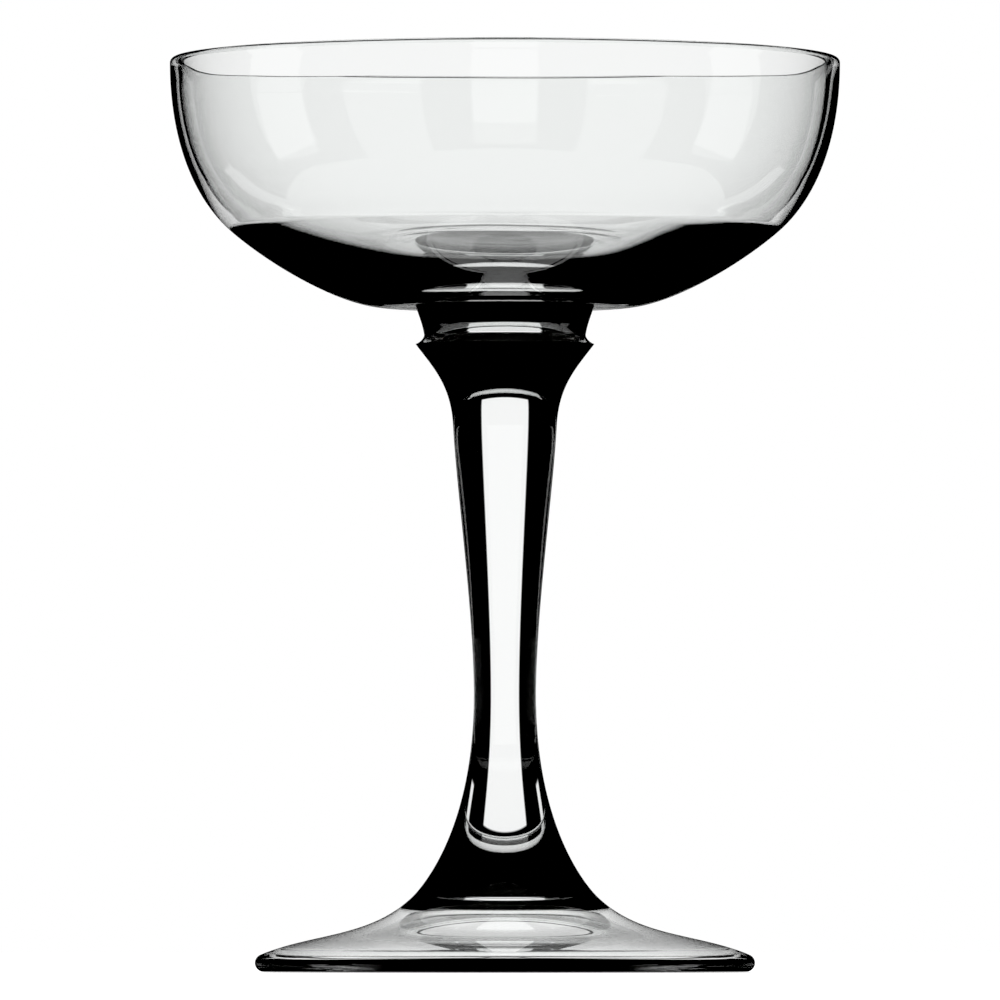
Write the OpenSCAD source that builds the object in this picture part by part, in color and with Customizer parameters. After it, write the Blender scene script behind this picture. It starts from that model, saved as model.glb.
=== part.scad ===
// A champagne coupe: a shallow bowl on a short neck, a tall solid stem and a round foot.
// Every piece is turned about the Z axis. Z = 0 is the table, and +Z points up to the rim.
// The pieces are fused glass to glass, so each pair meets on one flat face.

/* [Bowl] */
// Outside diameter of the bowl at its rim
bowl_d = 95; // [88:0.5:106]
// Height of the bowl from the neck to its rim
bowl_h = 35; // [32:0.5:44]
// Outside diameter of the bowl where its flank meets the wall
shoulder_d = 77.8; // [72:0.2:82]
// Height of that place above the neck
shoulder_h = 10.5; // [9:0.1:12.5]
// Slope of the bowl at that place, in degrees from level
shoulder_slope = 41.2; // [36:0.2:48]
// Diameter of the low edge round the base of the bowl
base_d = 34.6; // [28:0.2:42]
// How far that edge hangs below the neck's joint
base_drop = 0.3; // [0:0.1:1]
// Thickness of the wall at the rim
rim_t = 1.5; // [1:0.1:2.5]
// Thickness of the wall at the shoulder
shoulder_t = 1.5; // [1:0.1:2.5]
// How fast the flank thickens below the shoulder, in degrees between its two faces
flank_taper = 6; // [3:0.5:8]
// Thickness of the glass at the middle of the floor
floor_t = 3.3; // [2:0.1:6]
// Diameter inside which the floor levels out
floor_d = 11; // [8:0.5:30]

/* [Neck] */
// Height of the neck between the bowl and the stem
neck_h = 5.6; // [3:0.1:10]
// Diameter of the neck where it joins the bowl
neck_top_d = 25.4; // [22:0.1:30]
// Diameter of the neck just over the lip at its foot
neck_waist_d = 22.9; // [16:0.1:24]
// Height of that place above the stem
neck_waist_h = 1.4; // [0.8:0.1:2.8]

/* [Stem] */
// Length of the stem from the foot to the neck
stem_l = 78.4; // [60:0.2:120]
// Diameter of the sharp edge at the head of the stem
head_d = 25.3; // [24.4:0.1:30]
// Height over which the head draws in to the shaft
head_h = 11.5; // [9:0.1:16]
// Diameter of the shaft under the head
shaft_d = 14.7; // [11:0.1:18]
// Diameter of the stem at its waist
waist_d = 8.8; // [6:0.1:10.5]
// Height of that waist above the foot
waist_h = 28.6; // [22:0.2:38]
// Diameter of the stem where it joins the foot
stem_base_d = 26.4; // [20:0.1:34]

/* [Foot] */
// Diameter of the foot
foot_d = 70.8; // [62:0.2:86]
// Height of the foot from the table to the stem
foot_h = 10.5; // [8:0.1:14]
// Thickness of the foot at its rounded edge
edge_t = 2.5; // [1.6:0.1:3.6]
// Thickness of the foot over its hollow
foot_t = 2.3; // [1.6:0.1:3.2]
// Width of the flat ring that rests on the table
ring_w = 0.8; // [0.6:0.1:3]
// Width of the rounding between that ring and the hollow
ring_rounding = 1.8; // [1:0.1:3]
// Height of the hollow under the middle of the foot
hollow_h = 7.8; // [6.6:0.1:8.2]
// Diameter inside which the hollow closes over
hollow_d = 28; // [27:0.2:44]

/* [Hidden] */

// Facets of a turned piece, and straight steps along each curve of an outline
turn_facets = 180;
curve_steps = 14;
lip_steps = 8;

// Directions of travel along an outline, in degrees
up = 90;
down = -90;
outward = 0;
inward = 180;

// How far each curve holds its direction at its start and end, as shares of its chord
seat_shares = [0.33, 0.33];
flank_shares = [0.244, 0.297];
wall_shares = [0.299, 0.396];
floor_shares = [0.6, 0.7];
neck_shares = [0.4, 0.4];
neck_lip_shares = [0.3, 0.3];
head_shares = [0.324, 0.45];
taper_shares = [0.253, 0.311];
flare_shares = [0.62, 0.08];
foot_shares = [0.363, 0.354];
ring_shares = [0.3, 0.3];
hollow_shares = [0.5, 0.9];

// Directions in which the outlines leave and reach their ends
neck_top_angle = -107;
neck_waist_angle = -100;
neck_lip_angle = -15;
head_angle = -127;
shaft_angle = -93.1;
flare_angle = -43.5;
foot_edge_angle = -22.7;

// Heights of the joined faces over the table
stem_z = foot_h;
neck_z = stem_z + stem_l;
bowl_z = neck_z + neck_h;
rim_z = bowl_z + bowl_h;

lip_r = rim_t / 2;
edge_r = edge_t / 2;
edge_x = foot_d / 2 - edge_r;
ring_x = edge_x - ring_w;

// A smooth curve from a to b that leaves a along angle ta and reaches b along angle tb
function curve(a, ta, b, tb, shares) =
    let(
        chord = norm(b - a),
        c = a + chord * shares[0] * [cos(ta), sin(ta)],
        d = b - chord * shares[1] * [cos(tb), sin(tb)]
    )
    [for (i = [0 : curve_steps])
        let(t = i / curve_steps, s = 1 - t)
        s * s * s * a + 3 * s * s * t * c + 3 * s * t * t * d + t * t * t * b];

// An arc about a centre, from one angle to another
function arc(centre, r, from, to) =
    [for (i = [0 : lip_steps])
        let(t = from + (to - from) * i / lip_steps)
        centre + r * [cos(t), sin(t)]];

// The inner points of a path moved to its left, each by its own depth
function inset(path, depths) =
    [for (i = [1 : len(path) - 2])
        let(d = path[i + 1] - path[i - 1])
        path[i] + depths[i] / norm(d) * [-d[1], d[0]]];

function reversed(path) = [for (i = [len(path) - 1 : -1 : 0]) path[i]];

function angle_of(d) = atan2(d[1], d[0]);

module turned(outline) {
    rotate_extrude($fn = turn_facets) polygon(outline);
}

module bowl() {
    seat_edge = [neck_top_d / 2, bowl_z];
    base_edge = [base_d / 2, bowl_z - base_drop];
    shoulder = [shoulder_d / 2, bowl_z + shoulder_h];
    lip_centre = [bowl_d / 2 - lip_r, rim_z - lip_r];
    seat = curve(seat_edge, outward, base_edge, outward, seat_shares);
    flank = curve(base_edge, outward, shoulder, shoulder_slope, flank_shares);
    wall = curve(shoulder, shoulder_slope, lip_centre + [lip_r, 0], up, wall_shares);
    lip = arc(lip_centre, lip_r, 0, inward);
    outside = concat(flank, [for (i = [1 : curve_steps]) wall[i]]);
    // The flank thickens evenly with its distance from the shoulder
    depths = concat(
        [for (p = flank) shoulder_t + tan(flank_taper) * norm(shoulder - p)],
        [for (i = [1 : curve_steps]) shoulder_t + (rim_t - shoulder_t) * i / curve_steps]
    );
    inside = [for (p = inset(outside, depths)) if (p[0] > floor_d / 2) p];
    floor_curve = curve(
        inside[0], angle_of(inside[0] - inside[1]), [0, bowl_z + floor_t], inward, floor_shares
    );
    color([0.86, 0.93, 0.93, 0.5])
        turned(concat([[0, bowl_z]], seat, outside, lip, reversed(inside), floor_curve));
}

module neck_button() {
    waist = [neck_waist_d / 2, neck_z + neck_waist_h];
    drum = curve(
        [neck_top_d / 2, bowl_z], neck_top_angle, waist, neck_waist_angle, neck_shares
    );
    lip = curve(
        waist, neck_waist_angle, [head_d / 2, neck_z], neck_lip_angle, neck_lip_shares
    );
    color([0.80, 0.89, 0.90, 0.6])
        turned(concat([[0, bowl_z]], drum, lip, [[0, neck_z]]));
}

module stem() {
    shaft = [shaft_d / 2, neck_z - head_h];
    waist = [waist_d / 2, stem_z + waist_h];
    head = curve([head_d / 2, neck_z], head_angle, shaft, shaft_angle, head_shares);
    taper = curve(shaft, shaft_angle, waist, down, taper_shares);
    flare = curve(waist, down, [stem_base_d / 2, stem_z], flare_angle, flare_shares);
    color([0.84, 0.91, 0.92, 0.6])
        turned(concat([[0, neck_z]], head, taper, flare, [[0, stem_z]]));
}

module foot() {
    edge = arc([edge_x, edge_r], edge_r, up + foot_edge_angle, down);
    top = curve([stem_base_d / 2, stem_z], flare_angle, edge[0], foot_edge_angle, foot_shares);
    // The hollow follows the top face at an even thickness, then closes over the middle
    under = [for (p = inset(reversed(top), [for (p = top) foot_t]))
        if (p[0] > hollow_d / 2 && p[0] < ring_x - ring_rounding) p];
    ring = curve([ring_x, 0], inward, under[0], angle_of(under[1] - under[0]), ring_shares);
    last = len(under) - 1;
    hollow = curve(
        under[last], angle_of(under[last] - under[last - 1]), [0, hollow_h], inward,
        hollow_shares
    );
    color([0.84, 0.92, 0.92, 0.55])
        turned(concat([[0, stem_z]], top, edge, ring, under, hollow));
}

bowl();
neck_button();
stem();
foot();
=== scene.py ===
"""The looks of a clear champagne coupe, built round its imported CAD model.

Each CAD node is replaced by a finely turned glass piece of the same form. Sizes are named in
millimetres and made metres where a mesh is built. The glass stands on a pale table. Through it the
eye sees bright panels with dark gaps between them, which is how a photographer draws the edges of
clear glass.
"""

import math

import bpy
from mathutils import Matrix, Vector, noise


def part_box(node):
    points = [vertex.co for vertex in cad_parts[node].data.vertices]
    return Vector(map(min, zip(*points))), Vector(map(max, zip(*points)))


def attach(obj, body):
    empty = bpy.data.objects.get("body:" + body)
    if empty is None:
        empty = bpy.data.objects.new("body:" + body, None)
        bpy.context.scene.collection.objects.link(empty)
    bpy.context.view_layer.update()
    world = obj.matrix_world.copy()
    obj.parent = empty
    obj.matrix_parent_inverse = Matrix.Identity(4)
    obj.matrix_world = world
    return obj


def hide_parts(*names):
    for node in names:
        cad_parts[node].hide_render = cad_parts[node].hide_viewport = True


MM = 0.001

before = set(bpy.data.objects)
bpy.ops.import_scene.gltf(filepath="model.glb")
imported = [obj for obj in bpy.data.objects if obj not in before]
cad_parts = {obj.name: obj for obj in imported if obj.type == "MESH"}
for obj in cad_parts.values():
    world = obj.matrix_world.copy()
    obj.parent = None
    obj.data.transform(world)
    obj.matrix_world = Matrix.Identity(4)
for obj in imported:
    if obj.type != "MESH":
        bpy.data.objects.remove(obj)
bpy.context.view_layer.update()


def node_span(node):
    """Lowest and highest level and the largest radius of a CAD node, in millimetres."""
    low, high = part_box(node)
    return low.z / MM, high.z / MM, high.x / MM


_, rim_z, bowl_r = node_span("bowl")
neck_z, bowl_z, _ = node_span("neck_button")
stem_z, _, _ = node_span("stem")
table_z, _, foot_r = node_span("foot")

# Bowl, in millimetres
SHOULDER_R = 38.9
SHOULDER_H = 10.5
SHOULDER_SLOPE = 41.2
BASE_R = 17.3
BASE_DROP = 0.3
RIM_T = 1.5
SHOULDER_T = 1.5
FLANK_TAPER = 6
FLOOR_T = 3.3
FLOOR_R = 5.5

# The blown inner face strays a little, and all of it fades out towards the rim and the axis
FADE = 4

# Its waves
WAVE = 0.1
WAVE_SCALE = 1.3
WAVE_RISE = 30
WAVE_START = (3.1, 0.4, 7.7)

# How far it is off centre towards the front, from a little way over the shoulder up
OFF_CENTRE = 0.4
OFF_START = 2
OFF_GROWTH = 6

# One thicker patch low on the right: its middle and half its width in degrees, its top over the
# shoulder, how fast it grows below that, and the radius inside which it thins out
PATCH = 0.25
PATCH_TURN = -16.5
PATCH_HALF = 36.5
PATCH_POWER = 12
PATCH_TOP = 0.5
PATCH_GROWTH = 3
PATCH_R = 34

# Neck
NECK_TOP_R = 12.7
NECK_TOP_ANGLE = -107
NECK_WAIST_R = 11.45
NECK_WAIST_H = 1.4
NECK_WAIST_ANGLE = -100
NECK_LIP_ANGLE = -15

# Stem
HEAD_R = 12.65
HEAD_H = 11.5
SHAFT_R = 7.35
WAIST_R = 4.4
WAIST_H = 28.6
STEM_BASE_R = 13.2
HEAD_ANGLE = -127
SHAFT_ANGLE = -93.1
FLARE_ANGLE = -43.5

# Foot
EDGE_T = 2.5
FOOT_EDGE_ANGLE = -22.7
FOOT_T = 2.3
RING_W = 0.8
RING_ROUNDING = 1.8
HOLLOW_H = 7.8
HOLLOW_R = 14

# How far each curve holds its direction at its start and end, as shares of its chord
MIDDLE_SHARES = (1 / 3, 1 / 3)
SEAT_SHARES = (0.33, 0.33)
FLANK_SHARES = (0.244, 0.297)
WALL_SHARES = (0.299, 0.396)
FLOOR_SHARES = (0.6, 0.7)
NECK_SHARES = (0.4, 0.4)
NECK_LIP_SHARES = (0.3, 0.3)
HEAD_SHARES = (0.324, 0.45)
TAPER_SHARES = (0.253, 0.311)
FLARE_SHARES = (0.62, 0.08)
FOOT_SHARES = (0.363, 0.354)
RING_SHARES = (0.3, 0.3)
HOLLOW_SHARES = (0.5, 0.9)

# Directions of travel along an outline, in degrees
UP = 90
DOWN = -90
OUTWARD = 0
INWARD = 180

SEGMENTS = 192
CURVE_STEPS = 40
LIP_STEPS = 16
FLAT_STEPS = 8
SHARP_ANGLE = 30
TINY = 1e-6


def curve(a, ta, b, tb, shares, steps=CURVE_STEPS):
    """A smooth curve from a to b that leaves a along angle ta and reaches b along angle tb."""
    a, b = Vector(a), Vector(b)
    chord = (b - a).length
    c = a + chord * shares[0] * Vector((math.cos(math.radians(ta)), math.sin(math.radians(ta))))
    d = b - chord * shares[1] * Vector((math.cos(math.radians(tb)), math.sin(math.radians(tb))))
    points = []
    for i in range(steps + 1):
        t = i / steps
        s = 1 - t
        points.append(s * s * s * a + 3 * s * s * t * c + 3 * s * t * t * d + t * t * t * b)
    return points


def arc(centre, r, start, end):
    """Points of an arc about a centre, from one angle to another."""
    points = []
    for i in range(LIP_STEPS + 1):
        t = math.radians(start + (end - start) * i / LIP_STEPS)
        points.append(Vector(centre) + r * Vector((math.cos(t), math.sin(t))))
    return points


def inset(path, depths):
    """The inner points of a path moved to its left, each by its own depth."""
    points = []
    for i in range(1, len(path) - 1):
        d = (path[i + 1] - path[i - 1]).normalized()
        points.append(path[i] + depths[i] * Vector((-d.y, d.x)))
    return points


def angle_of(d):
    return math.degrees(math.atan2(d.y, d.x))


def bowl_outline():
    """The bowl's outline from the middle of its base, and the index where its blown inner face begins."""
    shoulder = Vector((SHOULDER_R, bowl_z + SHOULDER_H))
    lip_r = RIM_T / 2
    lip = Vector((bowl_r - lip_r, rim_z - lip_r))
    flank = curve((BASE_R, bowl_z - BASE_DROP), OUTWARD, shoulder, SHOULDER_SLOPE, FLANK_SHARES)
    wall = curve(shoulder, SHOULDER_SLOPE, lip + Vector((lip_r, 0)), UP, WALL_SHARES)[1:]
    growth = math.tan(math.radians(FLANK_TAPER))
    depths = [SHOULDER_T + growth * (shoulder - p).length for p in flank]
    depths += [SHOULDER_T + (RIM_T - SHOULDER_T) * (i + 1) / len(wall) for i in range(len(wall))]
    inside = [p for p in inset(flank + wall, depths) if p.x > FLOOR_R]
    out = curve((0, bowl_z), OUTWARD, (NECK_TOP_R, bowl_z), OUTWARD, MIDDLE_SHARES, FLAT_STEPS)
    out += curve((NECK_TOP_R, bowl_z), OUTWARD, flank[0], OUTWARD, SEAT_SHARES, LIP_STEPS)[1:]
    out += flank[1:] + wall + arc(lip, lip_r, OUTWARD, INWARD)[1:]
    blown = len(out)
    out += inside[::-1]
    inner_angle = angle_of(inside[0] - inside[1])
    out += curve(inside[0], inner_angle, (0, bowl_z + FLOOR_T), INWARD, FLOOR_SHARES)[1:]
    return out, blown


def neck_outline():
    waist = Vector((NECK_WAIST_R, neck_z + NECK_WAIST_H))
    out = [Vector((0, bowl_z))]
    out += curve((NECK_TOP_R, bowl_z), NECK_TOP_ANGLE, waist, NECK_WAIST_ANGLE, NECK_SHARES)
    out += curve(waist, NECK_WAIST_ANGLE, (HEAD_R, neck_z), NECK_LIP_ANGLE, NECK_LIP_SHARES)[1:]
    return out + [Vector((0, neck_z))]


def stem_outline():
    shaft = Vector((SHAFT_R, neck_z - HEAD_H))
    waist = Vector((WAIST_R, stem_z + WAIST_H))
    out = [Vector((0, neck_z))]
    out += curve((HEAD_R, neck_z), HEAD_ANGLE, shaft, SHAFT_ANGLE, HEAD_SHARES)
    out += curve(shaft, SHAFT_ANGLE, waist, DOWN, TAPER_SHARES)[1:]
    out += curve(waist, DOWN, (STEM_BASE_R, stem_z), FLARE_ANGLE, FLARE_SHARES)[1:]
    return out + [Vector((0, stem_z))]


def foot_outline():
    edge_r = EDGE_T / 2
    edge_x = foot_r - edge_r
    edge = arc((edge_x, edge_r), edge_r, UP + FOOT_EDGE_ANGLE, DOWN)
    top = curve((STEM_BASE_R, stem_z), FLARE_ANGLE, edge[0], FOOT_EDGE_ANGLE, FOOT_SHARES)
    ring_x = edge_x - RING_W
    under = inset(top[::-1], [FOOT_T] * len(top))
    under = [p for p in under if HOLLOW_R < p.x < ring_x - RING_ROUNDING]
    out = [Vector((0, stem_z))] + top + edge[1:]
    out += curve((ring_x, 0), INWARD, under[0], angle_of(under[1] - under[0]), RING_SHARES, LIP_STEPS)
    out += under[1:]
    under_angle = angle_of(under[-1] - under[-2])
    out += curve(under[-1], under_angle, (0, HOLLOW_H), INWARD, HOLLOW_SHARES)[1:]
    return out


def stray(p, a):
    """How far a point of the blown inner face strays from the round at the turn a, in millimetres."""
    spot = Vector((math.cos(a), math.sin(a), p.y / WAVE_RISE))
    wave = WAVE * noise.noise(spot * WAVE_SCALE + Vector(WAVE_START))
    over = p.y - bowl_z - SHOULDER_H
    off = OFF_CENTRE * math.sin(a) * min(1, max(0, over - OFF_START) / OFF_GROWTH)
    turn = (math.degrees(a) - PATCH_TURN + 180) % 360 - 180
    patch = PATCH / (1 + (turn / PATCH_HALF) ** PATCH_POWER)
    patch *= 1 - math.exp(-max(0, PATCH_TOP - over) / PATCH_GROWTH)
    patch *= min(1, p.x / PATCH_R) ** 2
    return wave + off + patch


def turned(name, outline, seams, glass, blown):
    """A closed mesh turned about Z. seams gives the radius of each level face where it is fused to its
    neighbour, and the points from index blown on stray a little, as a blown surface does."""
    area = sum(a.x * b.y - b.x * a.y for a, b in zip(outline, outline[1:] + outline[:1]))
    if area < 0:
        outline = outline[::-1]
    verts, rings = [], []
    for i, p in enumerate(outline):
        if p.x < TINY:
            rings.append([len(verts)])
            verts.append((0, 0, p.y * MM))
            continue
        rings.append(list(range(len(verts), len(verts) + SEGMENTS)))
        along = (outline[min(i + 1, len(outline) - 1)] - outline[i - 1]).normalized()
        for k in range(SEGMENTS):
            a = 2 * math.pi * k / SEGMENTS
            q = p
            if i >= blown:
                fade = min(1, (rim_z - p.y) / FADE, p.x / FADE)
                q = p + fade * stray(p, a) * Vector((along.y, -along.x))
            verts.append((q.x * MM * math.cos(a), q.x * MM * math.sin(a), q.y * MM))
    faces, materials = [], []
    for i in range(len(rings) - 1):
        lower, upper = rings[i], rings[i + 1]
        level = outline[i].y == outline[i + 1].y and outline[i].y in seams
        inside = max(outline[i].x, outline[i + 1].x) <= seams.get(outline[i].y, 0) + TINY
        for k in range(SEGMENTS):
            n = (k + 1) % SEGMENTS
            if len(lower) == 1:
                face = (lower[0], upper[n], upper[k])
            elif len(upper) == 1:
                face = (lower[k], lower[n], upper[0])
            else:
                face = (lower[k], lower[n], upper[n], upper[k])
            faces.append(face)
            materials.append(1 if level and inside else 0)
    mesh = bpy.data.meshes.new(name)
    mesh.from_pydata(verts, [], faces)
    mesh.materials.append(glass)
    mesh.materials.append(weld)
    mesh.polygons.foreach_set("material_index", materials)
    mesh.polygons.foreach_set("use_smooth", [True] * len(faces))
    mesh.set_sharp_from_angle(angle=math.radians(SHARP_ANGLE))
    mesh.validate()
    obj = bpy.data.objects.new(name, mesh)
    bpy.context.scene.collection.objects.link(obj)
    return obj


GLASS_COLOUR = (0.99, 1, 0.995, 1)
GLASS_IOR = 1.5


def new_material(name):
    m = bpy.data.materials.new(name)
    m.use_nodes = True
    m.node_tree.nodes.clear()
    return m, m.node_tree


def clear_glass(name):
    m, tree = new_material(name)
    shader = tree.nodes.new("ShaderNodeBsdfPrincipled")
    shader.inputs["Base Color"].default_value = GLASS_COLOUR
    shader.inputs["Roughness"].default_value = 0
    shader.inputs["IOR"].default_value = GLASS_IOR
    shader.inputs["Transmission Weight"].default_value = 1
    out = tree.nodes.new("ShaderNodeOutputMaterial")
    tree.links.new(shader.outputs[0], out.inputs[0])
    return m


def fused_seam():
    """Two pieces of glass that are fused have no surface between them, so light passes straight through."""
    m, tree = new_material("fused_seam")
    shader = tree.nodes.new("ShaderNodeBsdfTransparent")
    out = tree.nodes.new("ShaderNodeOutputMaterial")
    tree.links.new(shader.outputs[0], out.inputs[0])
    return m


weld = fused_seam()
bowl, bowl_blown = bowl_outline()

# Each piece by its CAD node: outline, seams, material slot, and where its blown face begins
PIECES = {
    "bowl": (bowl, {bowl_z: NECK_TOP_R}, "bowl_glass", bowl_blown),
    "neck_button": (neck_outline(), {bowl_z: NECK_TOP_R, neck_z: HEAD_R}, "neck_glass", math.inf),
    "stem": (stem_outline(), {neck_z: HEAD_R, stem_z: STEM_BASE_R}, "stem_glass", math.inf),
    "foot": (foot_outline(), {stem_z: STEM_BASE_R}, "foot_glass", math.inf),
}

for node, (outline, seams, slot, blown) in PIECES.items():
    piece = turned(node + "_glass", outline, seams, clear_glass(slot), blown)
    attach(piece, "root")
    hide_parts(node)


# Each panel of the studio: half its width, its lower edge and its upper edge, in degrees
BACK_PANEL = (18.5, -27, 27)
SIDE_PANELS = (12, -27, 27)
HIGH_PANEL = (37, 38, 52)
LOW_PANELS = (15, -42, -8)
SLITS = (4, -42, -17)
TABLE_EDGE = -40

# The panels are as white as the background that the eye sees
PANEL_LEVEL = 1
PANEL_SOFT = 0.02

TABLE_COLOUR = (0.9, 0.9, 0.9, 1)
TABLE_GLOW = 0.2
TABLE_SIZE = 30000
TABLE_GAP = 0.1

LAMP_PLACE = (-300, -200, 900)
LAMP_POWER = 3
LAMP_SIZE = 800


def studio_world():
    """A world that is plain white to the eye and to the table. The glass shows the panels in it."""
    world = bpy.data.worlds.new("studio")
    bpy.context.scene.world = world
    world.use_nodes = True
    tree = world.node_tree
    tree.nodes.clear()

    def math_node(operation, *values, clamp=False):
        n = tree.nodes.new("ShaderNodeMath")
        n.operation = operation
        n.use_clamp = clamp
        for i, v in enumerate(values):
            if isinstance(v, (int, float)):
                n.inputs[i].default_value = v
            else:
                tree.links.new(v, n.inputs[i])
        return n.outputs[0]

    def below(v, limit):
        distance = math_node("SUBTRACT", limit + PANEL_SOFT / 2, v)
        return math_node("DIVIDE", distance, PANEL_SOFT, clamp=True)

    def panels(a, b, half_width, bottom, top):
        """Four panels, centred on the two axes along which a and b are measured."""
        far, near = math_node("MAXIMUM", a, b), math_node("MINIMUM", a, b)
        rise = math_node("DIVIDE", z, far)
        inside = below(math_node("DIVIDE", near, far), math.tan(math.radians(half_width)))
        under = below(rise, math.tan(math.radians(top)))
        over = math_node("SUBTRACT", 1, below(rise, math.tan(math.radians(bottom))))
        return math_node("MULTIPLY", math_node("MULTIPLY", inside, under), over)

    coord = tree.nodes.new("ShaderNodeTexCoord")
    split = tree.nodes.new("ShaderNodeSeparateXYZ")
    tree.links.new(coord.outputs["Generated"], split.inputs[0])
    x, y, z = split.outputs
    ax, ay = math_node("ABSOLUTE", x), math_node("ABSOLUTE", y)
    half = math.sqrt(0.5)
    across = math_node("ABSOLUTE", math_node("MULTIPLY", math_node("ADD", x, y), half))
    along = math_node("ABSOLUTE", math_node("MULTIPLY", math_node("SUBTRACT", x, y), half))
    behind = math_node("GREATER_THAN", y, ax)
    in_front = math_node("LESS_THAN", y, 0)

    # Upright panels on all four sides, the widest behind, with a high one over that
    mask = panels(ax, ay, *SIDE_PANELS)
    mask = math_node("MAXIMUM", mask, math_node("MULTIPLY", panels(ax, ay, *BACK_PANEL), behind))
    mask = math_node("MAXIMUM", mask, math_node("MULTIPLY", panels(ax, ay, *HIGH_PANEL), behind))
    # Low panels between them, which are mere slits behind, and the lit table under all
    mask = math_node("MAXIMUM", mask, math_node("MULTIPLY", panels(across, along, *LOW_PANELS), in_front))
    mask = math_node("MAXIMUM", mask, panels(across, along, *SLITS))
    mask = math_node("MAXIMUM", mask, math_node("LESS_THAN", z, math.sin(math.radians(TABLE_EDGE))))

    light = tree.nodes.new("ShaderNodeLightPath")
    plain = math_node("MAXIMUM", light.outputs["Is Camera Ray"], light.outputs["Is Diffuse Ray"])
    seen = math_node("MULTIPLY", mask, light.outputs["Is Transmission Ray"])
    level = math_node("MAXIMUM", math_node("MULTIPLY", seen, PANEL_LEVEL), plain)
    back = tree.nodes.new("ShaderNodeBackground")
    back.inputs["Color"].default_value = (1, 1, 1, 1)
    tree.links.new(level, back.inputs["Strength"])
    out = tree.nodes.new("ShaderNodeOutputWorld")
    tree.links.new(back.outputs[0], out.inputs[0])


def table_top():
    """A pale table under the glass. The eye sees it white, and the glass shows the panels past it."""
    m, tree = new_material("table_white")
    diffuse = tree.nodes.new("ShaderNodeBsdfDiffuse")
    diffuse.inputs["Color"].default_value = TABLE_COLOUR
    glow = tree.nodes.new("ShaderNodeEmission")
    glow.inputs["Strength"].default_value = TABLE_GLOW
    both = tree.nodes.new("ShaderNodeAddShader")
    tree.links.new(diffuse.outputs[0], both.inputs[0])
    tree.links.new(glow.outputs[0], both.inputs[1])
    clear = tree.nodes.new("ShaderNodeBsdfTransparent")
    light = tree.nodes.new("ShaderNodeLightPath")
    bent = tree.nodes.new("ShaderNodeMath")
    bent.operation = "MAXIMUM"
    tree.links.new(light.outputs["Is Transmission Ray"], bent.inputs[0])
    tree.links.new(light.outputs["Is Glossy Ray"], bent.inputs[1])
    mix = tree.nodes.new("ShaderNodeMixShader")
    tree.links.new(bent.outputs[0], mix.inputs[0])
    tree.links.new(both.outputs[0], mix.inputs[1])
    tree.links.new(clear.outputs[0], mix.inputs[2])
    out = tree.nodes.new("ShaderNodeOutputMaterial")
    tree.links.new(mix.outputs[0], out.inputs[0])
    half = TABLE_SIZE / 2 * MM
    z = (table_z - TABLE_GAP) * MM
    mesh = bpy.data.meshes.new("table")
    corners = [(-half, -half, z), (half, -half, z), (half, half, z), (-half, half, z)]
    mesh.from_pydata(corners, [], [(0, 1, 2, 3)])
    mesh.materials.append(m)
    table = bpy.data.objects.new("table", mesh)
    bpy.context.scene.collection.objects.link(table)


def soft_lamp():
    """A weak soft box over the left shoulder, which gives the foot its faint shadow."""
    lamp = bpy.data.lights.new("soft_box", "AREA")
    lamp.energy = LAMP_POWER
    lamp.size = LAMP_SIZE * MM
    obj = bpy.data.objects.new("soft_box", lamp)
    bpy.context.scene.collection.objects.link(obj)
    obj.location = Vector(LAMP_PLACE) * MM
    obj.rotation_euler = (-obj.location).to_track_quat("-Z", "Y").to_euler()
    obj.visible_camera = False
    obj.visible_transmission = False
    obj.visible_glossy = False


studio_world()
table_top()
soft_lamp()

# Camera, in millimetres. It stands low and looks up a little, and its view is VIEW_W wide at the glass.
DISTANCE = 2034
CAMERA_Z = 3
AIM_X = -0.7
AIM_Z = 66.8
SENSOR = 36
VIEW_W = 141.6
CLIP_START = 100

camera_data = bpy.data.cameras.new("camera")
camera_data.sensor_width = SENSOR
camera_data.lens = SENSOR * DISTANCE / VIEW_W
camera_data.clip_start = CLIP_START * MM
camera = bpy.data.objects.new("camera", camera_data)
bpy.context.scene.collection.objects.link(camera)
camera.location = Vector((AIM_X, -DISTANCE, CAMERA_Z)) * MM
direction = Vector((AIM_X, 0, AIM_Z)) * MM - camera.location
camera.rotation_euler = direction.to_track_quat("-Z", "Y").to_euler()
bpy.context.scene.camera = camera

scene = bpy.context.scene
scene.view_settings.view_transform = "Standard"
